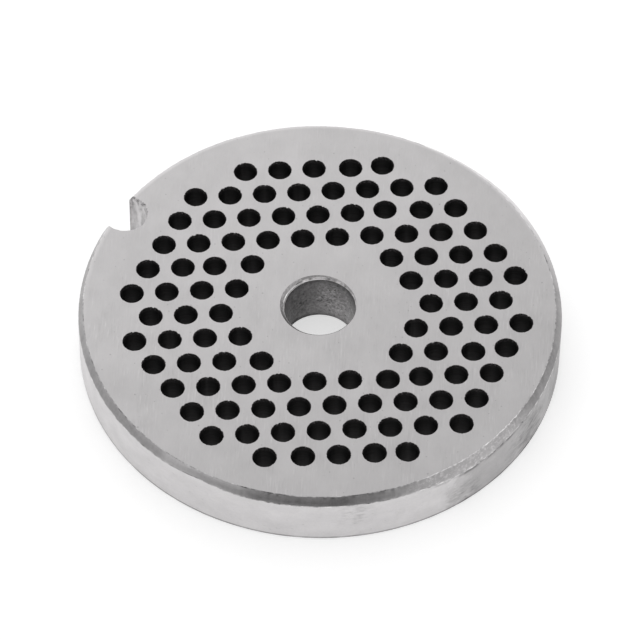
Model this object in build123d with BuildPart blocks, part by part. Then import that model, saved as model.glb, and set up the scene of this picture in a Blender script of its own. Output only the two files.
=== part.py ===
from build123d import *
from math import ceil, sqrt
import os

# Meat grinder plate, size 22: one steel disc, drilled, bored and notched, lying on its lower
# face. The origin is on the bore's axis at the lower face. +Z is up, towards the face that the
# knife runs on, and the locating notch opens towards -X.
# Lengths are in millimetres and angles in degrees.

# Disc
outer_diameter = 82.0          # seats in the ring of the grinder's housing
thickness = 10.5
rim_chamfer_width = 0.95       # lead-in round the upper edge, measured along the face
rim_chamfer_height = 1.25      # the same lead-in, measured down the rim
lower_rim_chamfer = 0.3

# Bore that the stud of the worm runs in
bore_diameter = 12.1
lower_bore_chamfer = 0.3
countersink_width = 0.45       # what its mouth adds to the bore's radius; its cone is at 45 degrees
countersink_drift = 0.35       # the countersink was cut this far off the bore's axis
countersink_drift_angle = 198.0

# Notch for the locating pin of the housing
notch_radius = 3.85
notch_depth = 5.85             # from the rim to the notch's floor

# Drilled field: a close-packed pattern, cut short round the bore, the rim and the notch
hole_diameter = 4.0
hole_pitch = 5.94
row_angle = 34.6               # of the hole rows to the X axis
field_shift = 1.15             # of the whole pattern off the bore's axis, away from the notch
hub_land = 6.0                 # least undrilled width round the bore
rim_land = 4.6                 # least undrilled width inside the rim
notch_land = 1.5               # least wall between the notch and a hole

# Holes that the drill wandered on: site (place in its row, row), then drift along and across it
drill_drift = {
    (5, -2): (0.3, -0.4),
    (3, -3): (0.4, -0.3),
    (5, -6): (-0.5, -0.1),
    (-4, 2): (-0.5, 0.0),
    (0, 4): (-0.3, 0.4),
    (1, -6): (-0.4, 0.2),
    (-1, -2): (0.3, -0.3),
    (-2, 6): (0.4, -0.2),
}

# Derived sizes
outer_radius = outer_diameter / 2
bore_radius = bore_diameter / 2
hole_radius = hole_diameter / 2
row_spacing = hole_pitch * sqrt(3) / 2
countersink_radius = bore_radius + countersink_width
countersink_depth = 2 * (countersink_width + countersink_drift)  # its small end is inside the bore
notch_centre = Vector(notch_depth - outer_radius - notch_radius, 0)
countersink_centre = Vector(countersink_drift, 0).rotate(Axis.Z, countersink_drift_angle)
field_plane = Plane(
    origin=(field_shift, 0, 0),
    x_dir=Vector(1, 0, 0).rotate(Axis.Z, row_angle),
    z_dir=(0, 0, 1),
)


def is_drilled(centre):
    """Tell whether a hole centred here clears the bore, the rim and the notch."""
    clears_bore = centre.length >= bore_radius + hub_land + hole_radius
    clears_rim = centre.length <= outer_radius - rim_land - hole_radius
    to_notch = (centre - notch_centre).length
    return clears_bore and clears_rim and to_notch >= notch_radius + notch_land + hole_radius


def drilled_sites():
    """List the hole centres on the field plane, row by row, with the drill's drift added."""
    reach = ceil(2 * outer_radius / hole_pitch)
    sites = []
    for row in range(-reach, reach + 1):
        for place in range(-reach, reach + 1):
            site = Vector((place + row / 2) * hole_pitch, row * row_spacing)
            if is_drilled(field_plane.from_local_coords(site)):
                sites.append(site + Vector(*drill_drift.get((place, row), (0, 0))))
    return sites


with BuildPart() as grinder_plate:
    # Disc, turned with its bore, its rim lead-in and the small chamfers at the lower face
    with BuildSketch(Plane.XZ):
        Polygon(
            (bore_radius + lower_bore_chamfer, 0),
            (outer_radius - lower_rim_chamfer, 0),
            (outer_radius, lower_rim_chamfer),
            (outer_radius, thickness - rim_chamfer_height),
            (outer_radius - rim_chamfer_width, thickness),
            (bore_radius, thickness),
            (bore_radius, lower_bore_chamfer),
            align=None,
        )
    revolve(axis=Axis.Z)

    # Countersink at the bore's upper mouth, wider on the side it drifted to
    with Locations(countersink_centre + Vector(0, 0, thickness)):
        Cone(
            bottom_radius=countersink_radius - countersink_depth,
            top_radius=countersink_radius,
            height=countersink_depth,
            align=(Align.CENTER, Align.CENTER, Align.MAX),
            mode=Mode.SUBTRACT,
        )

    # Half-round notch, straight through
    with BuildSketch():
        with Locations(notch_centre):
            Circle(notch_radius)
    extrude(amount=thickness, mode=Mode.SUBTRACT)

    # Drilled field, straight through
    with BuildSketch(field_plane):
        with Locations(*drilled_sites()):
            Circle(hole_radius)
    extrude(amount=thickness, mode=Mode.SUBTRACT)

grinder_plate.part.label = "grinder_plate"
os.makedirs("parts", exist_ok=True)
export_step(grinder_plate.part, "parts/grinder_plate.step")
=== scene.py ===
import math

import bpy
from bpy.props import FloatProperty, FloatVectorProperty, IntProperty, PointerProperty
from mathutils import Matrix, Vector


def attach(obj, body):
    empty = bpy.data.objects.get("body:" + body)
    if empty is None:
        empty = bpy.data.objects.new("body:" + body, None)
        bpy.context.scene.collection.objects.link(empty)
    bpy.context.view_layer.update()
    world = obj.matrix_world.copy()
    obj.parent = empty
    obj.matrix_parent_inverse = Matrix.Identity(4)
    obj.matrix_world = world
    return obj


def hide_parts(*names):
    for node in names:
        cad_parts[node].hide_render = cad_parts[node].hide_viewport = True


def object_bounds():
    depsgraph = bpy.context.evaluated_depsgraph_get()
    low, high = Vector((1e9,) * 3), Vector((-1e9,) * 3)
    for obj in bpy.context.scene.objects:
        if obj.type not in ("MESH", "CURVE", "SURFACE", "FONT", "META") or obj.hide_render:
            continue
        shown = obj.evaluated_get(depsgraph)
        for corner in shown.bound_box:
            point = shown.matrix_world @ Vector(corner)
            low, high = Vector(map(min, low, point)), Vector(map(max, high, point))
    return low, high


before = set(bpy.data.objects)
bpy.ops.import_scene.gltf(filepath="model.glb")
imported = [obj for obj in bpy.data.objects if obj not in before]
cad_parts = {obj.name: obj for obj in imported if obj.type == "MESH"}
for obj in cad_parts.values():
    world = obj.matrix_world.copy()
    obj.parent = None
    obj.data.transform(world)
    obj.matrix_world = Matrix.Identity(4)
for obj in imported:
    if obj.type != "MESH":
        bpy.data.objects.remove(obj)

bl_info = {
    "name": "Meat Grinder Plate",
    "version": (1, 0, 0),
    "blender": (4, 5, 0),
    "location": "3D View > Sidebar > Grinder Plate",
    "description": "Turns, drills and finishes a steel meat grinder plate and lights it on a pale floor",
    "category": "Object",
}

CAD_LOW, CAD_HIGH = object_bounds()
MM = 0.001
CAD_NODE = "grinder_plate"


# ---------------------------------------------------------------- sizes and colours

class PlateSizes(bpy.types.PropertyGroup):
    """The plate's driving sizes."""

    outer_diameter: FloatProperty(
        name="Outer Diameter", description="Across the turned rim",
        default=2 * CAD_HIGH.y, unit="LENGTH", precision=5)
    thickness: FloatProperty(
        name="Thickness", description="Between the two ground faces",
        default=CAD_HIGH.z - CAD_LOW.z, unit="LENGTH", precision=5)
    chamfer_width: FloatProperty(
        name="Chamfer Width", description="Lead-in round the upper face, measured along the face",
        default=0.95 * MM, unit="LENGTH", precision=5)
    chamfer_height: FloatProperty(
        name="Chamfer Height", description="The same lead-in, measured down the rim",
        default=1.25 * MM, unit="LENGTH", precision=5)
    lower_round: FloatProperty(
        name="Lower Round", description="Rounding of the rim at the lower face",
        default=0.3 * MM, unit="LENGTH", precision=5)
    chamfer_drift: FloatProperty(
        name="Chamfer Drift", description="How far the lead-in was turned off the axis",
        default=0.13 * MM, unit="LENGTH", precision=5)
    chamfer_drift_angle: FloatProperty(
        name="Chamfer Drift Angle", description="Which way it drifted",
        default=math.radians(-125.0), subtype="ANGLE")
    edge_break: FloatProperty(
        name="Edge Break", description="How far the turned edges are dulled",
        default=0.09 * MM, unit="LENGTH", precision=5)
    bore_diameter: FloatProperty(
        name="Bore Diameter", description="Bore that the worm's stud runs in",
        default=12.1 * MM, unit="LENGTH", precision=5)
    countersink_width: FloatProperty(
        name="Countersink Width", description="What the countersink adds to the bore's radius",
        default=0.45 * MM, unit="LENGTH", precision=5)
    countersink_drift: FloatProperty(
        name="Countersink Drift", description="How far the countersink was cut off the bore's axis",
        default=0.35 * MM, unit="LENGTH", precision=5)
    countersink_drift_angle: FloatProperty(
        name="Countersink Drift Angle", description="Which way it drifted",
        default=math.radians(198.0), subtype="ANGLE")
    notch_radius: FloatProperty(
        name="Notch Radius", description="Half-round notch for the locating pin",
        default=3.85 * MM, unit="LENGTH", precision=5)
    notch_depth: FloatProperty(
        name="Notch Depth", description="From the rim to the notch's floor",
        default=5.85 * MM, unit="LENGTH", precision=5)
    hole_diameter: FloatProperty(
        name="Hole Diameter", description="Of the drilled holes that the meat leaves through",
        default=4.0 * MM, unit="LENGTH", precision=5)
    hole_pitch: FloatProperty(
        name="Hole Pitch", description="Between neighbouring holes",
        default=5.94 * MM, unit="LENGTH", precision=5)
    row_angle: FloatProperty(
        name="Row Angle", description="Of the hole rows to the X axis",
        default=math.radians(34.6), subtype="ANGLE")
    field_shift: FloatProperty(
        name="Field Shift", description="Of the whole hole pattern away from the notch",
        default=1.15 * MM, unit="LENGTH", precision=5)
    hub_land: FloatProperty(
        name="Hub Land", description="Least undrilled width round the bore",
        default=6.0 * MM, unit="LENGTH", precision=5)
    rim_land: FloatProperty(
        name="Rim Land", description="Least undrilled width inside the rim",
        default=4.6 * MM, unit="LENGTH", precision=5)
    notch_land: FloatProperty(
        name="Notch Land", description="Least wall between the notch and a hole",
        default=1.5 * MM, unit="LENGTH", precision=5)
    grind_angle: FloatProperty(
        name="Grinding Direction", description="Which way the grinding lines run",
        default=math.radians(118.0), subtype="ANGLE")
    rim_segments: IntProperty(
        name="Rim Segments", description="Flats that the rim is made of", default=1080, min=64)
    hole_segments: IntProperty(
        name="Hole Segments", description="Flats that a drilled hole is made of", default=56, min=12)
    bore_segments: IntProperty(
        name="Bore Segments", description="Flats that the bore and its mouth are made of",
        default=128, min=24)
    notch_segments: IntProperty(
        name="Notch Segments", description="Flats that the notch's mill is made of", default=160, min=24)


class PlateFinishes(bpy.types.PropertyGroup):
    """The colours of the steel where it was worked in different ways."""

    ground_face: FloatVectorProperty(
        name="Ground Face", description="Surface-ground steel",
        default=(0.502, 0.491, 0.494), subtype="COLOR", min=0, max=1)
    turned_rim: FloatVectorProperty(
        name="Turned Rim", description="Rim as it left the lathe and was handled",
        default=(0.630, 0.616, 0.621), subtype="COLOR", min=0, max=1)
    turned_chamfer: FloatVectorProperty(
        name="Turned Chamfer", description="Lead-in round the upper face",
        default=(0.334, 0.326, 0.329), subtype="COLOR", min=0, max=1)
    drilled_wall: FloatVectorProperty(
        name="Drilled Wall", description="Inside of the drilled holes",
        default=(0.088, 0.085, 0.086), subtype="COLOR", min=0, max=1)
    bored_wall: FloatVectorProperty(
        name="Bored Wall", description="Inside of the bore",
        default=(0.278, 0.271, 0.273), subtype="COLOR", min=0, max=1)
    milled_notch: FloatVectorProperty(
        name="Milled Notch", description="Wall of the locating notch",
        default=(0.530, 0.518, 0.522), subtype="COLOR", min=0, max=1)
    countersink: FloatVectorProperty(
        name="Countersink", description="Mouth of the bore",
        default=(0.480, 0.469, 0.471), subtype="COLOR", min=0, max=1)
    rubbed_edge: FloatVectorProperty(
        name="Rubbed Edge", description="Edges rubbed bright by handling",
        default=(0.860, 0.846, 0.850), subtype="COLOR", min=0, max=1)


class StudioSettings(bpy.types.PropertyGroup):
    """Floor, lights and camera."""

    floor_colour: FloatVectorProperty(
        name="Floor Colour", description="Pale sweep that the plate lies on",
        default=(0.73, 0.73, 0.73), subtype="COLOR", min=0, max=1)
    floor_glow: FloatProperty(
        name="Floor Glow", description="What lifts the floor to white for the camera and in reflections",
        default=0.55, min=0)
    tent_strength: FloatProperty(
        name="Tent Strength", description="Brightness of the white tent round the plate, 1 is white",
        default=0.90, min=0)
    opening_strength: FloatProperty(
        name="Opening Strength", description="Brightness of the dim opening that the camera looks in by",
        default=0.42, min=0)
    panel_strength: FloatProperty(
        name="Panel Strength", description="Brightness of the soft panel behind on the left, 1 is white",
        default=0.42, min=0)
    camera_distance: FloatProperty(
        name="Camera Distance", description="From the camera to the plate",
        default=0.7952, unit="LENGTH")
    camera_azimuth: FloatProperty(
        name="Camera Azimuth", description="Turn of the camera round the plate, 0 looks along +Y",
        default=math.radians(30.08), subtype="ANGLE")
    camera_elevation: FloatProperty(
        name="Camera Elevation", description="Height of the camera above the horizon",
        default=math.radians(51.79), subtype="ANGLE")
    camera_roll: FloatProperty(
        name="Camera Roll", description="Tilt of the camera about its own axis",
        default=math.radians(0.86), subtype="ANGLE")
    focal_length: FloatProperty(
        name="Focal Length", description="In millimetres, on a sensor 36 mm wide",
        default=262.69, min=1.0)


# Holes that the drill wandered on: place in the row and row, then drift along and across the row
DRILL_DRIFT = {
    (5, -2): (0.3, -0.4),
    (3, -3): (0.4, -0.3),
    (5, -6): (-0.5, -0.1),
    (-4, 2): (-0.5, 0.0),
    (0, 4): (-0.3, 0.4),
    (1, -6): (-0.4, 0.2),
    (-1, -2): (0.3, -0.3),
    (-2, 6): (0.4, -0.2),
}

# How far the lead-in reaches down the rim all round, and where knocks and filing spread it or the
# tool left it high: angle and half width in degrees, and drop in millimetres
SHOULDER_DROP = 0.36 * MM
SPREAD_SHOULDER = (
    (-22, 14, 0.50),
    (-89, 9, -0.55),
    (-128, 20, 0.22),
    (68, 52, -0.72),
)

# Rings turned on the rim, as depths below the shoulder, and on the lead-in, as shares of its width
# and height. What lies less than the shoulder's reach below it moves with it.
RIM_RINGS = (2.2 * MM, 0.3 * MM)
LEAD_IN_RINGS = (0.34, 0.67)
SHOULDER_REACH = 0.4 * MM

# Where handling frayed the upper edges most, how widely, and how much it did elsewhere
FRAYED_ANGLE = math.radians(-14)
FRAYED_WIDTH = math.radians(36)
LEAST_FRAYING = 0.22

# How deep the lips of the holes are worn, how widely a burr hangs round a lip, and the least of it
LIP_DEPTH = 0.3 * MM
BURR_WIDTH = math.radians(100)
LEAST_BURR = 0.15

# How deep the mill tore the notch's upper edge and how little on the smoother side, where the
# notch's mouth begins, as a share of its radius from its middle, and how much wider a file made it
TORN_DEPTH = 0.7 * MM
LEAST_TEARING = 0.25
MOUTH_START = 0.39
MOUTH_EASING = 1.25

# The step inside the countersink: what it adds to the bore's radius, its depth and its drift
STEP_WIDTH = 0.16 * MM
STEP_DEPTH = 0.58 * MM
STEP_DRIFT = 0.20 * MM
STEP_DRIFT_ANGLE = math.radians(152)

# How far the cutting tools reach past the faces, and the bevel at the bore's lower mouth
PAST_FACE = 0.5 * MM
LOWER_BEVEL = 0.3 * MM

# Edges that turn less than this shade smooth
SMOOTH_ANGLE = math.radians(15)

# The plate's own materials, in the order of their slots, and the upward part of a face's normal
# from which it counts as slanting, as level and as dead level
GROUND, TURNED, LEAD_IN, RUBBED = range(4)
SLANTING, LEVEL, DEAD_LEVEL = 0.3, 0.97, 0.999

# What the camera looks at, the floor's radius and its gap under the plate, and the width of the
# camera's sensor in millimetres
AIM = Vector((-0.00049, 0.00082, 0.0053))
FLOOR_RADIUS = 1.6
FLOOR_GAP = 0.05 * MM
SENSOR_WIDTH = 36.0


def mm(*values):
    """Turn millimetres into metres."""
    return tuple(value * MM for value in values)


# ---------------------------------------------------------------- bench work
# In what follows, s holds the plate's sizes and f is the finish in the making

def deselect_all():
    """Leave edit mode and clear the selection."""
    if bpy.context.mode != "OBJECT":
        bpy.ops.object.mode_set(mode="OBJECT")
    bpy.ops.object.select_all(action="DESELECT")


def make_active(obj):
    """Select one object alone and make it the active one."""
    deselect_all()
    obj.select_set(True)
    bpy.context.view_layer.objects.active = obj


def turned(name, steps, segments, centre=(0.0, 0.0)):
    """Raise a round solid from its lowest circle through steps of radius and height."""
    deselect_all()
    (radius, height), rest = steps[0], steps[1:]
    bpy.ops.mesh.primitive_circle_add(
        vertices=segments, radius=radius, fill_type="NGON", location=(*centre, height))
    obj = bpy.context.object
    obj.name = obj.data.name = name
    bpy.ops.object.mode_set(mode="EDIT")
    bpy.ops.mesh.select_all(action="SELECT")
    for next_radius, next_height in rest:
        bpy.ops.mesh.extrude_region_move(
            TRANSFORM_OT_translate={"value": (0, 0, next_height - height)})
        grow = next_radius / radius
        bpy.ops.transform.resize(value=(grow, grow, 1), center_override=(*centre, next_height))
        radius, height = next_radius, next_height
    bpy.ops.mesh.select_all(action="SELECT")
    bpy.ops.mesh.normals_make_consistent(inside=False)
    bpy.ops.object.mode_set(mode="OBJECT")
    bpy.ops.object.transform_apply(location=True, rotation=True, scale=True)
    return obj


def select_edges(obj, wanted):
    """In edit mode's edge select, select the edges whose two ends both answer."""
    bpy.ops.object.mode_set(mode="EDIT")
    bpy.ops.mesh.select_mode(type="EDGE")
    bpy.ops.mesh.select_all(action="DESELECT")
    bpy.ops.object.mode_set(mode="OBJECT")
    points = [v.co for v in obj.data.vertices]
    for edge in obj.data.edges:
        edge.select = all(wanted(points[i]) for i in edge.vertices)
    bpy.ops.object.mode_set(mode="EDIT")


def ring(radius, height, slack=0.004 * MM):
    """Give a test for points on a circle round the axis."""
    return lambda p: abs(math.hypot(p.x, p.y) - radius) < slack and abs(p.z - height) < slack


def weigh(obj, name, weight):
    """Make a vertex group whose weights come from each vertex's place."""
    group = obj.vertex_groups.new(name=name)
    for vertex in obj.data.vertices:
        amount = weight(vertex.co)
        if amount > 0:
            group.add([vertex.index], min(amount, 1.0), "REPLACE")


def roughen(obj, group, strength, grain, direction="NORMAL", middle=0.5, sparse=None, seed=(0, 0, 0)):
    """Push the vertices of a group about by a cloud pattern of the given grain size.

    Sparse is how high a cloud has to be to push at all, and the seed is where the pattern starts.
    """
    texture = bpy.data.textures.new(group + "_pattern", type="CLOUDS")
    texture.noise_scale = 1.0
    texture.noise_depth = 1
    if sparse is not None:
        flank = 0.15
        texture.use_color_ramp = True
        low, high = texture.color_ramp.elements
        low.position, low.color = sparse, (0, 0, 0, 1)
        high.position, high.color = min(sparse + flank, 1.0), (1, 1, 1, 1)
    deselect_all()
    bpy.ops.object.empty_add(location=seed)
    guide = bpy.context.object
    guide.scale = grain
    bpy.context.view_layer.update()
    make_active(obj)
    push = obj.modifiers.new(group, "DISPLACE")
    push.texture, push.texture_coords, push.texture_coords_object = texture, "OBJECT", guide
    push.vertex_group, push.direction = group, direction
    push.strength, push.mid_level = strength, middle
    bpy.ops.object.modifier_apply(modifier=push.name)
    bpy.data.objects.remove(guide)
    bpy.data.textures.remove(texture)


def cut(obj, cutter):
    """Take the cutter away from the object and throw the cutter away."""
    make_active(obj)
    tool = obj.modifiers.new("cut", "BOOLEAN")
    tool.operation, tool.solver, tool.object = "DIFFERENCE", "MANIFOLD", cutter
    tool.material_mode = "TRANSFER"
    bpy.ops.object.modifier_apply(modifier=tool.name)
    mesh = cutter.data
    bpy.data.objects.remove(cutter)
    bpy.data.meshes.remove(mesh)


def sharpen_flats(obj):
    """Mark the edges where a level face meets one that isn't, so that the level face shades flat."""
    mesh, upright = obj.data, 0.9999
    level = [0] * len(mesh.edges)
    for face in mesh.polygons:
        if abs(face.normal.z) > upright:
            for loop in face.loop_indices:
                level[mesh.loops[loop].edge_index] += 1
    make_active(obj)
    bpy.ops.object.mode_set(mode="EDIT")
    bpy.ops.mesh.select_mode(type="EDGE")
    bpy.ops.mesh.select_all(action="DESELECT")
    bpy.ops.object.mode_set(mode="OBJECT")
    for edge, count in zip(mesh.edges, level):
        edge.select = count == 1
    bpy.ops.object.mode_set(mode="EDIT")
    bpy.ops.mesh.mark_sharp()
    bpy.ops.object.mode_set(mode="OBJECT")


def fade(angle, peak, width):
    """Fall from 1 at a peak to 0 at this width from it, all angles in radians."""
    gap = abs((angle - peak + math.pi) % (2 * math.pi) - math.pi)
    return max(0.0, 1.0 - gap / width)


# ---------------------------------------------------------------- finishes

class Finish:
    """A node material in the making: one Principled shader and the patterns that feed it."""

    def __init__(self, name, colour, roughness):
        self.material = bpy.data.materials.new(name)
        self.material.use_nodes = True
        self.nodes = self.material.node_tree.nodes
        self.links = self.material.node_tree.links
        self.nodes.clear()
        output = self.nodes.new("ShaderNodeOutputMaterial")
        self.shader = self.nodes.new("ShaderNodeBsdfPrincipled")
        self.links.new(self.shader.outputs["BSDF"], output.inputs["Surface"])
        self.shader.inputs["Base Color"].default_value = (*colour, 1)
        self.shader.inputs["Roughness"].default_value = roughness
        self.shader.inputs["Metallic"].default_value = 1.0
        self.colour, self.roughness = colour, roughness
        self.place = self.nodes.new("ShaderNodeTexCoord").outputs["Object"]
        self.laid = self.place
        self.material.diffuse_color = (*colour, 1)

    def node(self, kind, **inputs):
        """Add a node, linking sockets and setting plain values by input name or number."""
        made = self.nodes.new(kind)
        for key, value in inputs.items():
            socket = made.inputs[int(key[1:])] if key[0] == "_" else made.inputs[key]
            if isinstance(value, bpy.types.NodeSocket):
                self.links.new(value, socket)
            else:
                socket.default_value = value
        return made

    def maths(self, operation, a, b):
        """Work one sum on two values."""
        made = self.node("ShaderNodeMath", _0=a, _1=b)
        made.operation = operation
        return made.outputs["Value"]

    def product(self, first, *others):
        """Multiply values."""
        for other in others:
            first = self.maths("MULTIPLY", first, other)
        return first

    def total(self, start, *shares):
        """Add weighted patterns to a starting value."""
        running = start
        for value, weight in shares:
            made = self.node("ShaderNodeMath", _0=value, _1=weight, _2=running)
            made.operation = "MULTIPLY_ADD"
            running = made.outputs["Value"]
        return running

    def spread(self, value, low, high, to_low=0.0, to_high=1.0):
        """Stretch a value from one span to another, held inside its ends."""
        made = self.node("ShaderNodeMapRange", Value=value)
        made.inputs["From Min"].default_value = low
        made.inputs["From Max"].default_value = high
        made.inputs["To Min"].default_value = to_low
        made.inputs["To Max"].default_value = to_high
        return made.outputs["Result"]

    def even(self, value, low=0.3, high=0.7):
        """Stretch a pattern to run from -0.5 to 0.5, so that it leaves the mean tone alone."""
        return self.spread(value, low, high, -0.5, 0.5)

    def height(self):
        """Give the height above the lower face."""
        return self.node("ShaderNodeSeparateXYZ", Vector=self.place).outputs["Z"]

    def angle(self):
        """Give the angle round the plate's axis."""
        parts = self.node("ShaderNodeSeparateXYZ", Vector=self.place).outputs
        return self.maths("ARCTAN2", parts["Y"], parts["X"])

    def from_axis(self):
        """Give the distance from the plate's axis."""
        flat = self.node("ShaderNodeVectorMath", _0=self.place, _1=(1, 1, 0))
        flat.operation = "MULTIPLY"
        length = self.node("ShaderNodeVectorMath", _0=flat.outputs["Vector"])
        length.operation = "LENGTH"
        return length.outputs["Value"]

    def lay_round_rim(self):
        """Lay the patterns by arc round the rim, distance from the axis and height."""
        arc = self.maths("MULTIPLY", self.angle(), CAD_HIGH.y)
        wrapped = self.node("ShaderNodeCombineXYZ", X=arc, Y=self.from_axis(), Z=self.height())
        self.laid = wrapped.outputs["Vector"]

    def pattern(self, size, turn=0.0, detail=2.0, harsh=0.5, centre=(0, 0, 0)):
        """Give a cloudy value whose blotches have this size in metres, turned about Z."""
        grid = self.node("ShaderNodeMapping", Vector=self.laid)
        grid.vector_type = "TEXTURE"
        grid.inputs["Location"].default_value = centre
        grid.inputs["Rotation"].default_value = (0, 0, turn)
        grid.inputs["Scale"].default_value = size
        noise = self.node("ShaderNodeTexNoise", Vector=grid.outputs["Vector"],
                          Scale=1.0, Detail=detail, Roughness=harsh)
        return noise.outputs["Fac"]

    def near(self, point, radius, soft):
        """Give 1 near a point, falling to 0 over the soft distance outside the radius."""
        gap = self.node("ShaderNodeVectorMath", _0=self.place, _1=point)
        gap.operation = "DISTANCE"
        return self.spread(gap.outputs["Value"], radius, radius + soft, 1.0, 0.0)

    def on_rim(self, polar, height, radius, soft):
        """Give 1 near a place on the rim, by its angle in degrees and the rest in millimetres."""
        polar, outer = math.radians(polar), CAD_HIGH.y
        return self.near((outer * math.cos(polar), outer * math.sin(polar), height * MM),
                         radius * MM, soft * MM)

    def on_edge(self, polar, radius, soft):
        """Give 1 near a place on the rim's upper edge, given as for the rim."""
        return self.on_rim(polar, CAD_HIGH.z / MM, radius, soft)

    def below_shoulder(self, s):
        """Give the depth below the lead-in's lower edge, wherever that edge was moved to."""
        angle = self.angle()
        edge = s.thickness - s.chamfer_height - SHOULDER_DROP
        for peak, width, drop in SPREAD_SHOULDER:
            gap = self.maths("PINGPONG", self.maths("SUBTRACT", angle, math.radians(peak)), math.pi)
            edge = self.maths("SUBTRACT", edge, self.spread(gap, 0.0, math.radians(width), drop * MM, 0.0))
        return self.maths("SUBTRACT", edge, self.height())

    def shade(self, tone):
        """Scale the finish's own colour by a tone that is about 1."""
        made = self.node("ShaderNodeVectorMath", _0=self.colour)
        made.operation = "SCALE"
        self.links.new(tone, made.inputs["Scale"])
        return made.outputs["Vector"]

    def bump(self, height, depth):
        """Raise and lower the surface by this depth in metres."""
        return self.node("ShaderNodeBump", Height=height, Strength=1.0, Distance=depth).outputs["Normal"]

    def feed(self, tone, normal=None, roughness=None):
        """Join the finished tone and patterns to the shader."""
        colour = self.shade(tone)
        for value, socket in ((colour, "Base Color"), (roughness, "Roughness"), (normal, "Normal")):
            if value is not None:
                self.links.new(value, self.shader.inputs[socket])
        return self.material


def ground_face_finish(s, finishes):
    """Surface-ground steel: faint clouds, short scattered grinding lines, and a painted sheen along the far
    rim.
    """
    f = Finish("ground_face_steel", finishes.ground_face, 0.36)
    turn, edge = s.grind_angle, s.outer_diameter / 2 - s.chamfer_width
    lines = f.pattern(mm(2.8, 0.26, 2.0), turn=turn, harsh=0.6)
    clouds = f.even(f.pattern(mm(8.0, 8.0, 8.0), detail=3.0, harsh=0.55))
    grain = f.even(f.pattern(mm(0.7, 0.25, 0.4), turn=turn, harsh=0.6), 0.25, 0.75)
    patches = f.even(f.pattern(mm(3.2, 2.2, 3.0), turn=turn, centre=(0.02, 0.01, 0)), 0.35, 0.65)
    pits = f.spread(f.pattern(mm(0.5, 0.5, 0.5), detail=0.0, centre=(0.03, 0, 0.003)), 0.80, 0.85)
    # Painted sheen on the side away from the camera; it also thins the grinding lines there
    far_side_sheen = f.on_edge(125, 34, 26)
    tufts = f.spread(f.pattern(mm(6.0, 4.0, 5.0), turn=turn, centre=(0.01, 0.02, 0)), 0.40, 0.62)
    tufts = f.product(tufts, f.spread(far_side_sheen, 0.0, 1.0, 1.0, 0.45))
    bright = f.product(f.spread(lines, 0.56, 0.72), tufts)
    dark = f.product(f.spread(lines, 0.44, 0.28), tufts)
    # Painted sheen along the face's edge on that side
    far_edge_sheen = f.product(f.spread(f.from_axis(), edge - 0.7 * MM, edge), far_side_sheen)
    tone = f.total(1.0, (clouds, 0.08), (patches, 0.03), (grain, 0.035), (bright, 0.13), (dark, -0.09),
                   (far_edge_sheen, 0.34), (pits, -0.26))
    roughness = f.total(f.roughness, (tufts, 0.04), (bright, -0.06))
    return f.feed(tone, f.bump(lines, depth=0.006 * MM), roughness)


def turned_rim_finish(s, finishes):
    """Turned rim: faint lines round it, stained on its right, with painted shade on a stretch of its right
    side and along its foot.
    """
    f = Finish("turned_rim_steel", finishes.turned_rim, 0.40)
    f.lay_round_rim()
    lines = f.even(f.pattern(mm(9.0, 9.0, 0.35), detail=3.0, harsh=0.6))
    clouds = f.even(f.pattern(mm(5.0, 5.0, 3.2), detail=5.0, harsh=0.62, centre=(0.003, 0.001, 0.002)))
    grain = f.even(f.pattern(mm(0.5, 0.5, 0.4), detail=3.0, harsh=0.6))
    ragged = f.pattern(mm(3.4, 3.4, 2.8), detail=5.0, harsh=0.62, centre=(0.02, 0, 0))
    fuzzy = f.pattern(mm(1.0, 1.0, 0.8), detail=4.0, harsh=0.7, centre=(0.04, 0, 0))

    # A stain with a ragged outline and a darker tide mark along it
    reach = f.total(f.on_rim(-11, 4.5, 7, 7), (ragged, 1.3), (fuzzy, 0.5))
    stained = f.spread(reach, 1.00, 1.80)
    outline = f.maths("ABSOLUTE", f.maths("SUBTRACT", reach, 1.32), 0.0)
    tide_mark = f.spread(outline, 0.02, 0.10, 1.0, 0.0)

    # Painted shade on a stretch of the rim's right side, streaked upright
    shaded_stretch = f.on_rim(27, 5.0, 9, 14)
    upright = f.pattern(mm(1.6, 1.6, 5.0), detail=3.0, harsh=0.6, centre=(0, 0.02, 0))
    streaked = f.product(shaded_stretch, f.spread(upright, 0.42, 0.6))

    # Three smudges of short level scuffs
    level = f.pattern(mm(1.7, 1.7, 0.55), detail=4.0, harsh=0.6, centre=(0, 0.02, 0))
    smudged = f.on_rim(-51, 6.2, 1.2, 2.6)
    for place in ((-24, 1.2, 2.0, 3.0), (-1, 3.5, 3.0, 4.0)):
        smudged = f.maths("MAXIMUM", smudged, f.on_rim(*place))
    smear = f.product(f.spread(level, 0.42, 0.68), smudged)

    # Dirt under the bruised stretch of the lead-in
    below = f.below_shoulder(s)
    lip = f.product(f.spread(below, 0.06 * MM, 0.20 * MM), f.spread(below, 0.42 * MM, 0.85 * MM, 1.0, 0.0),
                    f.on_rim(-19, 8.0, 7, 6), f.spread(ragged, 0.38, 0.56))

    nicks = f.spread(f.pattern(mm(0.9, 0.9, 0.42), turn=-0.2, harsh=0.6, centre=(0.05, 0.01, 0.004)),
                     0.69, 0.76)
    # Painted shade along the rim's foot, broken into patches
    patchy = f.pattern(mm(2.2, 2.2, 1.0), detail=3.0, harsh=0.6, centre=(0.01, 0, 0))
    foot_shade = f.product(f.spread(f.height(), 0.66 * MM, 0.42 * MM), f.spread(patchy, 0.3, 0.55, 0.5, 1.0))
    tone = f.total(0.99, (lines, 0.022), (clouds, 0.13), (grain, 0.055), (stained, -0.28),
                   (tide_mark, -0.07), (smear, -0.29), (shaded_stretch, -0.43), (streaked, -0.10),
                   (lip, -0.34), (nicks, -0.22), (foot_shade, -0.55))
    roughness = f.total(f.roughness, (stained, 0.08), (shaded_stretch, 0.06))
    return f.feed(tone, f.bump(lines, depth=0.003 * MM), roughness)


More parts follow.
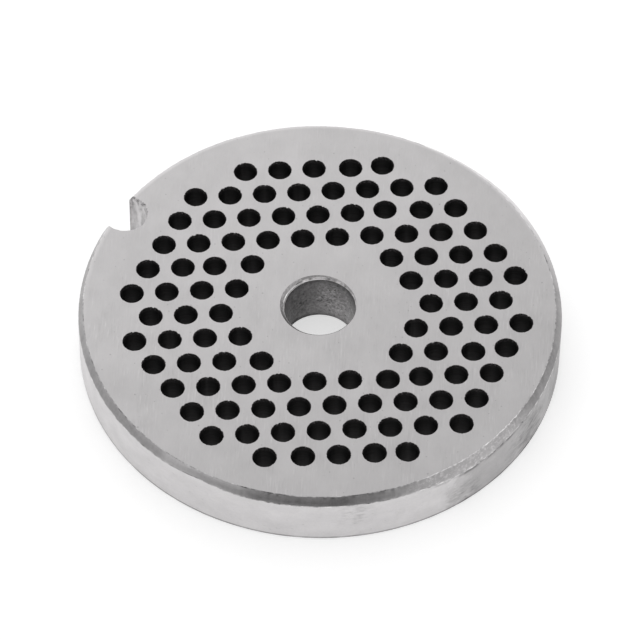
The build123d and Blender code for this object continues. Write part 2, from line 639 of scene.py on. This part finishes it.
def turned_chamfer_finish(s, finishes):
    """Lead-in: dull, scored across by the tool's chatter, bruised bright on its right front, with a painted
    highlight on its far side and painted shade on its right and front.
    """
    f = Finish("turned_chamfer_steel", finishes.turned_chamfer, 0.37)
    f.lay_round_rim()
    chatter = f.even(f.pattern(mm(0.8, 7.0, 7.0), turn=0.2, detail=4.0, harsh=0.6))
    clouds = f.even(f.pattern(mm(3.4, 3.4, 3.4), detail=3.0, harsh=0.6))
    mottle = f.pattern(mm(0.5, 0.5, 0.4), detail=4.0, harsh=0.7)
    bruised = f.on_edge(-21, 8.5, 7)
    chips = f.spread(f.pattern(mm(0.6, 0.5, 0.42), detail=5.0, harsh=0.75, centre=(0, 0.01, 0)), 0.50, 0.62)
    scars = f.product(chips, bruised)
    # Painted highlight on the lead-in's far side, which faces the camera
    far_side_sheen = f.on_edge(115, 36, 16)
    # Painted shade on the lead-in's right and in a patch at its front
    shaded_right = f.on_edge(13, 6, 8)
    shaded_patch = f.on_edge(-61, 6, 9)
    # A lighter spot on the lead-in round -90°
    lighter_spot = f.on_edge(-90, 2.5, 6)
    grimy = f.on_edge(-121, 9, 8)
    tone = f.total(1.0, (chatter, 0.13), (clouds, 0.20), (f.even(mottle), 0.14), (bruised, 0.37),
                   (scars, 0.48), (far_side_sheen, 1.20), (shaded_right, -0.20), (shaded_patch, -0.38), (lighter_spot, 0.30),
                   (grimy, -0.18))
    return f.feed(tone, f.bump(mottle, depth=0.016 * MM), f.total(f.roughness, (bruised, 0.14)))


def rubbed_edge_finish(s, finishes):
    """Thin dulled edges, rubbed bright with breaks in the rubbing, and a painted sheen on the far side."""
    f = Finish("rubbed_edge_steel", finishes.rubbed_edge, 0.30)
    breaks = f.even(f.pattern(mm(1.1, 1.1, 1.1), detail=4.0, harsh=0.7))
    patches = f.even(f.pattern(mm(4.5, 4.5, 4.5), harsh=0.6, centre=(0.01, 0, 0)), 0.35, 0.65)
    worn = f.on_edge(-20, 9, 9)
    worn_lower = f.product(worn, f.spread(f.height(), s.thickness - 0.3 * MM, s.thickness - 0.6 * MM))
    # Painted sheen on the edges' far side
    far_side_sheen = f.on_edge(125, 34, 26)
    return f.feed(f.total(0.52, (breaks, 0.75), (patches, 0.40), (worn, 0.42), (worn_lower, -0.36),
                          (far_side_sheen, 0.36)))


def drilled_wall_finish(s, finishes):
    """Dark drilled wall, scored round and round by the drill, with painted light near its mouth and bright
    nicks there, partly painted light.
    """
    f = Finish("drilled_wall_steel", finishes.drilled_wall, 0.5)
    height = f.height()
    scores = f.even(f.pattern(mm(3.0, 3.0, 0.35), harsh=0.6))
    specks = f.spread(f.pattern(mm(0.34, 0.34, 0.34), harsh=0.6, centre=(0, 0, 0.03)), 0.56, 0.64)
    # Painted light on the upper wall near the mouth; the nicks there are real marks brightened partly as
    # painted light
    mouth = f.spread(height, s.thickness - 1.3 * MM, s.thickness - 0.3 * MM)
    nicks = f.product(specks, f.spread(height, s.thickness - 0.9 * MM, s.thickness - 0.2 * MM))
    tone = f.total(0.95, (scores, 0.4), (mouth, 0.85), (nicks, 6.0))
    return f.feed(tone, f.bump(scores, depth=0.006 * MM))


def bored_wall_finish(s, finishes):
    """Grey pitted wall of the bore, darker near its upper mouth, with painted shade at its lower mouth and
    on its left, and a painted highlight on its right.
    """
    f = Finish("bored_wall_steel", finishes.bored_wall, 0.5)
    height = f.height()
    speckle = f.pattern(mm(0.50, 0.50, 0.50), detail=3.0, harsh=0.7)
    blotches = f.even(f.pattern(mm(1.2, 1.2, 1.2), harsh=0.6, centre=(0, 0.01, 0)))
    pits = f.spread(f.pattern(mm(0.46, 0.46, 0.46), detail=1.0, centre=(0.012, 0, 0.003)), 0.56, 0.68)
    grains = f.spread(f.pattern(mm(0.44, 0.44, 0.44), harsh=0.6, centre=(0.02, 0, 0.003)), 0.52, 0.66)
    fretted = f.near(mm(0.6, 6.0, 5.5), 2.6 * MM, 3.4 * MM)
    # Painted highlight on the bore's right and painted shade on its left
    lit_side = f.near(mm(5.2, 3.1, 4.0), 3.0 * MM, 8.0 * MM)
    shaded_patch = f.near(mm(-5.9, 0.6, 4.0), 2.4 * MM, 4.6 * MM)
    # Darker near the upper mouth, and painted shade at the lower mouth next to the floor
    upper = f.spread(height, s.thickness - 2.0 * MM, s.thickness - 0.8 * MM)
    lower = f.spread(height, 1.5 * MM, 0.4 * MM)
    tone = f.total(0.84, (f.even(speckle), 0.46), (blotches, 0.20), (f.product(pits, fretted), -0.50),
                   (f.product(grains, fretted), 0.65), (pits, -0.10), (lit_side, 0.42), (shaded_patch, -0.42),
                   (upper, -0.30), (lower, -0.38))
    return f.feed(tone, f.bump(speckle, depth=0.04 * MM))


def milled_notch_finish(s, finishes):
    """Notch wall with the mill's streaks standing upright, dark tears under its upper edge and a faint
    painted shade along its top.
    """
    f = Finish("milled_notch_steel", finishes.milled_notch, 0.4)
    streaks = f.pattern(mm(1.05, 1.05, 5.0))
    tears = f.spread(f.pattern(mm(0.75, 0.75, 1.0), detail=3.0, harsh=0.6, centre=(0.01, 0.003, 0.002)),
                     0.50, 0.62)
    upper = f.spread(f.height(), s.thickness - 3.6 * MM, s.thickness - 0.6 * MM)
    # The last weight is a faint painted shade along the top of the wall
    tone = f.total(1.0, (f.even(streaks, 0.38, 0.62), 0.42), (tears, -0.12),
                   (f.product(tears, upper), -0.40), (upper, -0.05))
    return f.feed(tone, f.bump(streaks, depth=0.05 * MM))


def countersink_finish(finishes):
    """Mouth of the bore, cut with a chattering countersink."""
    f = Finish("countersunk_steel", finishes.countersink, 0.4)
    chatter = f.even(f.pattern(mm(0.55, 0.55, 0.35), detail=4.0, harsh=0.7))
    return f.feed(f.total(1.0, (chatter, 0.85)), f.bump(chatter, depth=0.012 * MM))


# ---------------------------------------------------------------- the plate

def hole_centres(s):
    """List the drilled holes' centres, each with its drift."""
    along = Vector((math.cos(s.row_angle), math.sin(s.row_angle)))
    across = Vector((-along.y, along.x))
    row_spacing = s.hole_pitch * math.sqrt(3) / 2
    outer, bore, hole = s.outer_diameter / 2, s.bore_diameter / 2, s.hole_diameter / 2
    notch = Vector((s.notch_depth - outer - s.notch_radius, 0))
    reach = math.ceil(2 * outer / s.hole_pitch)
    centres = []
    for row in range(-reach, reach + 1):
        for place in range(-reach, reach + 1):
            step, rise = (place + row / 2) * s.hole_pitch, row * row_spacing
            site = Vector((s.field_shift, 0)) + along * step + across * rise
            if (site.length >= bore + s.hub_land + hole
                    and site.length <= outer - s.rim_land - hole
                    and (site - notch).length >= s.notch_radius + s.notch_land + hole):
                drift = DRILL_DRIFT.get((place, row), (0, 0))
                centres.append(site + along * drift[0] * MM + across * drift[1] * MM)
    return centres


def turn_blank(s, finishes):
    """Turn the disc with its lead-in, dull its edges and let wear fray them."""
    outer, top = s.outer_diameter / 2, s.thickness
    shoulder = top - s.chamfer_height
    rim = [(outer, shoulder - depth) for depth in RIM_RINGS]
    lead_in = [(outer - share * s.chamfer_width, shoulder + share * s.chamfer_height)
               for share in LEAD_IN_RINGS]
    blank = turned("grinder_plate_steel", [
        (outer, 0.0), *rim, (outer, shoulder), *lead_in, (outer - s.chamfer_width, top)], s.rim_segments)
    select_edges(blank, ring(outer, 0.0))
    bpy.ops.mesh.bevel(offset=s.lower_round, segments=4, affect="EDGES")
    for radius, height in ((outer, shoulder), (outer - s.chamfer_width, top)):
        select_edges(blank, ring(radius, height))
        bpy.ops.mesh.bevel(offset=s.edge_break, segments=2, affect="EDGES")
    bpy.ops.object.mode_set(mode="OBJECT")

    for finish in (ground_face_finish, turned_rim_finish, turned_chamfer_finish, rubbed_edge_finish):
        blank.data.materials.append(finish(s, finishes))
    near_shoulder, near_top = 0.7 * s.edge_break, 0.8 * s.edge_break
    for face in blank.data.polygons:
        middle, rise = face.center, face.normal.z
        if rise < DEAD_LEVEL and (abs(middle.z - shoulder) < near_shoulder or top - middle.z < near_top):
            face.material_index = RUBBED
        elif abs(rise) > LEVEL:
            face.material_index = GROUND
        else:
            face.material_index = LEAD_IN if rise > SLANTING else TURNED

    # Run the lead-in's upper edge off the axis
    lower, upper = shoulder + 0.2 * s.chamfer_height, shoulder + 0.8 * s.chamfer_height
    select_edges(blank, lambda p: p.z > upper)
    bpy.ops.transform.translate(value=(s.chamfer_drift * math.cos(s.chamfer_drift_angle),
                                       s.chamfer_drift * math.sin(s.chamfer_drift_angle), 0))
    bpy.ops.object.mode_set(mode="OBJECT")

    def frayed(p):
        """How much wear frays the edges here."""
        most = fade(math.atan2(p.y, p.x), FRAYED_ANGLE, FRAYED_WIDTH)
        return LEAST_FRAYING + (1.0 - LEAST_FRAYING) * most

    def lowered(p):
        """How far this point of the lead-in sinks, in millimetres; less than nothing is a rise."""
        angle = math.atan2(p.y, p.x)
        drop = SHOULDER_DROP / MM + sum(
            most * fade(angle, math.radians(peak), math.radians(width))
            for peak, width, most in SPREAD_SHOULDER)
        share = min(1.0, 1.0 - (p.z - shoulder) / s.chamfer_height)
        return drop * share * (p.z > shoulder - SHOULDER_REACH)

    inside, beside = 0.9 * outer, 0.2 * MM
    weigh(blank, "face_edge", lambda p: frayed(p) * (p.z > upper and math.hypot(p.x, p.y) > inside))
    weigh(blank, "lead_in", lambda p: frayed(p) * (lower < p.z < upper))
    weigh(blank, "rim_edge", lambda p: frayed(p) * (abs(p.z - shoulder) < beside))
    weigh(blank, "spread_down", lowered)
    weigh(blank, "left_high", lambda p: -lowered(p))
    grain = mm(0.40, 0.40, 0.40)
    roughen(blank, "face_edge", 0.40 * MM, grain, direction="X", seed=(0.1, 0, 0))
    roughen(blank, "face_edge", 0.40 * MM, grain, direction="Y", seed=(0, 0.1, 0))
    roughen(blank, "lead_in", 0.26 * MM, mm(0.6, 0.6, 0.6), middle=0.55, seed=(0.3, 0, 0))
    roughen(blank, "rim_edge", 0.30 * MM, grain, middle=0.75, seed=(0, 0.2, 0))
    roughen(blank, "rim_edge", 0.38 * MM, grain, direction="Z", seed=(0.2, 0.2, 0))
    for group, rise in (("spread_down", -1.0 * MM), ("left_high", 1.0 * MM)):
        make_active(blank)
        shift = blank.modifiers.new(group, "DISPLACE")
        shift.direction, shift.vertex_group = "Z", group
        shift.strength, shift.mid_level = rise, 0.0
        bpy.ops.object.modifier_apply(modifier=shift.name)
    return blank


def notch_mill(s):
    """Model the mill that cuts the notch, opened a little where its mouth was eased with a file."""
    radius, top = s.notch_radius, s.thickness
    middle = s.notch_depth - s.outer_diameter / 2 - radius
    heights = (-PAST_FACE, top - 1.1 * MM, top - 0.5 * MM, top, top + PAST_FACE)
    mill = turned("notch_mill", [(radius, height) for height in heights], s.notch_segments, (middle, 0.0))

    def torn(p):
        """The mill tore the notch's upper edge, but left a light waviness on the side towards -Y."""
        if p.y > -0.4 * radius:
            return float(p.z > top - TORN_DEPTH)
        return LEAST_TEARING

    weigh(mill, "torn", torn)
    roughen(mill, "torn", 0.55 * MM, mm(0.40, 0.40, 0.8), middle=0.42)
    bpy.ops.object.mode_set(mode="EDIT")
    bpy.ops.mesh.select_mode(type="VERT")
    bpy.ops.mesh.select_all(action="DESELECT")
    bpy.ops.object.mode_set(mode="OBJECT")
    for vertex in mill.data.vertices:
        vertex.select = vertex.co.x < middle - MOUTH_START * radius
    bpy.ops.object.mode_set(mode="EDIT")
    bpy.ops.transform.resize(value=(1.0, MOUTH_EASING, 1.0), center_override=(middle, 0.0, 0.0))
    bpy.ops.object.mode_set(mode="OBJECT")
    return mill


def drill_cutter(s, centre):
    """Model one drill, flared where it breaks each face."""
    radius, top = s.hole_diameter / 2, s.thickness
    flare, past, lip = 0.05 * MM, 0.4 * MM, 0.5 * MM
    return turned("drill", [
        (radius + flare + past, -past), (radius, flare), (radius, top - lip), (radius, top - flare),
        (radius + flare + past, top + past)], s.hole_segments, centre)


def drill_field(s, blank, finishes):
    """Drill all the holes, with the grinder's burrs drawn over their far lips."""
    centres = hole_centres(s)
    first = drill_cutter(s, (0, 0))
    first.data.materials.append(drilled_wall_finish(s, finishes))
    drills = []
    for centre in centres:
        drill = first.copy()
        drill.data = first.data.copy()
        drill.location = (*centre, 0)
        bpy.context.scene.collection.objects.link(drill)
        drills.append(drill)
    bpy.data.objects.remove(first)
    deselect_all()
    for drill in drills:
        drill.select_set(True)
    bpy.context.view_layer.objects.active = drills[0]
    bpy.ops.object.join()
    field = bpy.context.object
    bpy.ops.object.transform_apply(location=True, rotation=True, scale=True)

    def burred(p):
        """Burrs hang on the side of each hole that the wheel left last."""
        if p.z < s.thickness - LIP_DEPTH:
            return 0
        nearest = min(centres, key=lambda c: (c - p.xy).length_squared)
        gap = p.xy - nearest
        return LEAST_BURR + (1.0 - LEAST_BURR) * fade(math.atan2(gap.y, gap.x), s.grind_angle, BURR_WIDTH)

    weigh(field, "lip", lambda p: float(p.z > s.thickness - LIP_DEPTH))
    weigh(field, "burr", burred)
    upright = (0.20 * MM, 0.20 * MM, 1.0)
    roughen(field, "lip", 0.12 * MM, upright, middle=0.45)
    roughen(field, "burr", -0.22 * MM, upright, middle=0.0, sparse=0.64, seed=(0.1, 0, 0))
    cut(blank, field)


def drifted(angle, distance):
    """Give the centre of a tool that ran off the axis."""
    return (math.cos(angle) * distance, math.sin(angle) * distance)


class GRINDERPLATE_OT_build_plate(bpy.types.Operator):
    """Turn, drill, bore and notch the plate, and give each surface its finish"""

    bl_idname = "grinder_plate.build_plate"
    bl_label = "Build Plate"

    def execute(self, context):
        s, finishes = context.scene.plate_sizes, context.scene.plate_finishes
        plate = turn_blank(s, finishes)
        top, bore = s.thickness, s.bore_diameter / 2

        bar = turned("boring_bar", [
            (bore + LOWER_BEVEL + PAST_FACE, -PAST_FACE), (bore, LOWER_BEVEL), (bore, top + PAST_FACE)],
            s.bore_segments)
        bar.data.materials.append(bored_wall_finish(s, finishes))
        cut(plate, bar)

        mouth = bore + s.countersink_width
        depth = 2 * (s.countersink_width + s.countersink_drift)
        sink = turned("countersink", [
            (mouth - depth, top - depth), (mouth, top), (mouth + PAST_FACE, top + PAST_FACE)],
            s.bore_segments, drifted(s.countersink_drift_angle, s.countersink_drift))
        sink.data.materials.append(countersink_finish(finishes))
        cut(plate, sink)

        stepped = bore + STEP_WIDTH
        step = turned("stepped_mouth", [(stepped, top - STEP_DEPTH), (stepped, top + PAST_FACE)],
                      s.bore_segments, drifted(STEP_DRIFT_ANGLE, STEP_DRIFT))
        step.data.materials.append(plate.data.materials["rubbed_edge_steel"])
        cut(plate, step)

        mill = notch_mill(s)
        mill.data.materials.append(milled_notch_finish(s, finishes))
        cut(plate, mill)

        drill_field(s, plate, finishes)

        make_active(plate)
        bpy.ops.object.transform_apply(location=True, rotation=True, scale=True)
        bpy.ops.object.shade_smooth_by_angle(angle=SMOOTH_ANGLE)
        sharpen_flats(plate)
        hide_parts(CAD_NODE)
        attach(plate, "root")
        if not plate.data.polygons:
            raise RuntimeError("the plate came out empty")
        return {"FINISHED"}


# ---------------------------------------------------------------- the stage

def direction(polar, rise):
    """Point round the vertical axis by one angle and up from the floor by the other."""
    return Vector((math.cos(polar) * math.cos(rise), math.sin(polar) * math.cos(rise), math.sin(rise)))


def soft_light(name, radiance, size, distance, polar, elevation):
    """Hang a square soft panel that faces the plate; radiance 1 shows as white."""
    where = direction(polar, elevation) * distance
    deselect_all()
    bpy.ops.object.light_add(type="AREA", location=where)
    lamp = bpy.context.object
    lamp.name = lamp.data.name = name
    lamp.data.shape = "SQUARE"
    lamp.data.size = size
    lamp.data.energy = radiance * math.pi * size ** 2
    lamp.rotation_euler = (-where).to_track_quat("-Z", "Y").to_euler()


def light_tent(studio):
    """Make the world a white tent, brightest behind the plate on the left, with one dim opening."""
    tent = bpy.data.worlds.new("light_tent")
    tent.use_nodes = True
    nodes, links = tent.node_tree.nodes, tent.node_tree.links
    nodes.clear()
    output = nodes.new("ShaderNodeOutputWorld")
    cloth = nodes.new("ShaderNodeBackground")
    heading = nodes.new("ShaderNodeTexCoord").outputs["Generated"]

    def across(polar, rise, edge, heart, at_edge, at_heart, blend):
        """Change the cloth's brightness with the angle from one direction, between two angles."""
        towards = nodes.new("ShaderNodeVectorMath")
        towards.operation = "DOT_PRODUCT"
        towards.inputs[1].default_value = direction(polar, rise)
        change = nodes.new("ShaderNodeMapRange")
        change.interpolation_type = blend
        change.inputs["From Min"].default_value = math.cos(edge)
        change.inputs["From Max"].default_value = math.cos(heart)
        change.inputs["To Min"].default_value = at_edge
        change.inputs["To Max"].default_value = at_heart
        links.new(heading, towards.inputs[0])
        links.new(towards.outputs["Value"], change.inputs["Value"])
        return change.outputs["Result"]

    white, slant = studio.tent_strength, 0.12
    slope = across(
        polar=math.radians(130), rise=math.radians(20), edge=math.pi, heart=0.0,
        at_edge=white - slant, at_heart=white + slant, blend="LINEAR")
    opening = across(
        polar=studio.camera_azimuth - math.radians(87), rise=math.radians(16),
        edge=math.radians(46), heart=math.radians(18),
        at_edge=1.0, at_heart=studio.opening_strength / white, blend="SMOOTHSTEP")
    product = nodes.new("ShaderNodeMath")
    product.operation = "MULTIPLY"
    links.new(slope, product.inputs[0])
    links.new(opening, product.inputs[1])
    links.new(product.outputs["Value"], cloth.inputs["Strength"])
    links.new(cloth.outputs["Background"], output.inputs["Surface"])
    return tent


def pale_floor_finish(studio):
    """Matt floor that takes the plate's shadow, lifted to white where it is seen or reflected."""
    sheet = bpy.data.materials.new("pale_floor")
    sheet.use_nodes = True
    nodes, links = sheet.node_tree.nodes, sheet.node_tree.links
    nodes.clear()
    output = nodes.new("ShaderNodeOutputMaterial")
    matt = nodes.new("ShaderNodeBsdfDiffuse")
    matt.inputs["Color"].default_value = (*studio.floor_colour, 1)
    glow = nodes.new("ShaderNodeEmission")
    glow.inputs["Color"].default_value = (1, 1, 1, 1)
    path = nodes.new("ShaderNodeLightPath")
    seen = path.outputs["Is Camera Ray"]
    for ray in ("Is Glossy Ray", "Is Transmission Ray"):
        either = nodes.new("ShaderNodeMath")
        either.operation = "ADD"
        links.new(seen, either.inputs[0])
        links.new(path.outputs[ray], either.inputs[1])
        seen = either.outputs["Value"]
    strength = nodes.new("ShaderNodeMath")
    strength.operation = "MULTIPLY"
    links.new(seen, strength.inputs[0])
    strength.inputs[1].default_value = studio.floor_glow
    links.new(strength.outputs["Value"], glow.inputs["Strength"])
    both = nodes.new("ShaderNodeAddShader")
    links.new(matt.outputs["BSDF"], both.inputs[0])
    links.new(glow.outputs["Emission"], both.inputs[1])
    links.new(both.outputs["Shader"], output.inputs["Surface"])
    return sheet


class GRINDERPLATE_OT_set_stage(bpy.types.Operator):
    """Lay the pale floor, hang the lights and set the camera"""

    bl_idname = "grinder_plate.set_stage"
    bl_label = "Set Stage"

    def execute(self, context):
        studio = context.scene.studio_settings
        deselect_all()
        bpy.ops.mesh.primitive_circle_add(
            vertices=96, radius=FLOOR_RADIUS, fill_type="NGON", location=(0, 0, -FLOOR_GAP))
        floor = context.object
        floor.name = floor.data.name = "floor"
        floor.data.materials.append(pale_floor_finish(studio))

        context.scene.world = light_tent(studio)
        soft_light("left_panel", studio.panel_strength, size=0.2, distance=0.26,
                   polar=math.radians(135), elevation=math.radians(40))

        back = direction(studio.camera_azimuth - math.radians(90), studio.camera_elevation)
        deselect_all()
        bpy.ops.object.camera_add(location=AIM + back * studio.camera_distance)
        camera = context.object
        turn = (-back).to_track_quat("-Z", "Y").to_matrix()
        camera.rotation_euler = (turn @ Matrix.Rotation(studio.camera_roll, 3, "Z")).to_euler()
        camera.data.lens = studio.focal_length
        camera.data.sensor_width = SENSOR_WIDTH
        camera.data.clip_start, camera.data.clip_end = 0.01, 10.0
        context.scene.camera = camera
        context.scene.view_settings.view_transform = "Standard"
        return {"FINISHED"}


# ---------------------------------------------------------------- panel and registering

class GRINDERPLATE_PT_sidebar(bpy.types.Panel):
    """Sizes and finishes of the grinder plate"""

    bl_idname = "GRINDERPLATE_PT_sidebar"
    bl_label = "Grinder Plate"
    bl_space_type = "VIEW_3D"
    bl_region_type = "UI"
    bl_category = "Grinder Plate"

    def draw(self, context):
        layout = self.layout
        for title, group, operator in (
                ("Sizes", context.scene.plate_sizes, None),
                ("Finishes", context.scene.plate_finishes, GRINDERPLATE_OT_build_plate),
                ("Studio", context.scene.studio_settings, GRINDERPLATE_OT_set_stage)):
            box = layout.box()
            box.label(text=title)
            for name in group.__annotations__:
                box.prop(group, name)
            if operator:
                box.operator(operator.bl_idname)


CLASSES = (PlateSizes, PlateFinishes, StudioSettings, GRINDERPLATE_OT_build_plate,
           GRINDERPLATE_OT_set_stage, GRINDERPLATE_PT_sidebar)


def register():
    for cls in CLASSES:
        bpy.utils.register_class(cls)
    bpy.types.Scene.plate_sizes = PointerProperty(type=PlateSizes)
    bpy.types.Scene.plate_finishes = PointerProperty(type=PlateFinishes)
    bpy.types.Scene.studio_settings = PointerProperty(type=StudioSettings)


def unregister():
    del bpy.types.Scene.studio_settings
    del bpy.types.Scene.plate_finishes
    del bpy.types.Scene.plate_sizes
    for cls in reversed(CLASSES):
        bpy.utils.unregister_class(cls)


def main():
    """Build the plate and its stage."""
    register()
    bpy.ops.grinder_plate.build_plate()
    bpy.ops.grinder_plate.set_stage()


if __name__ == "__main__":
    main()
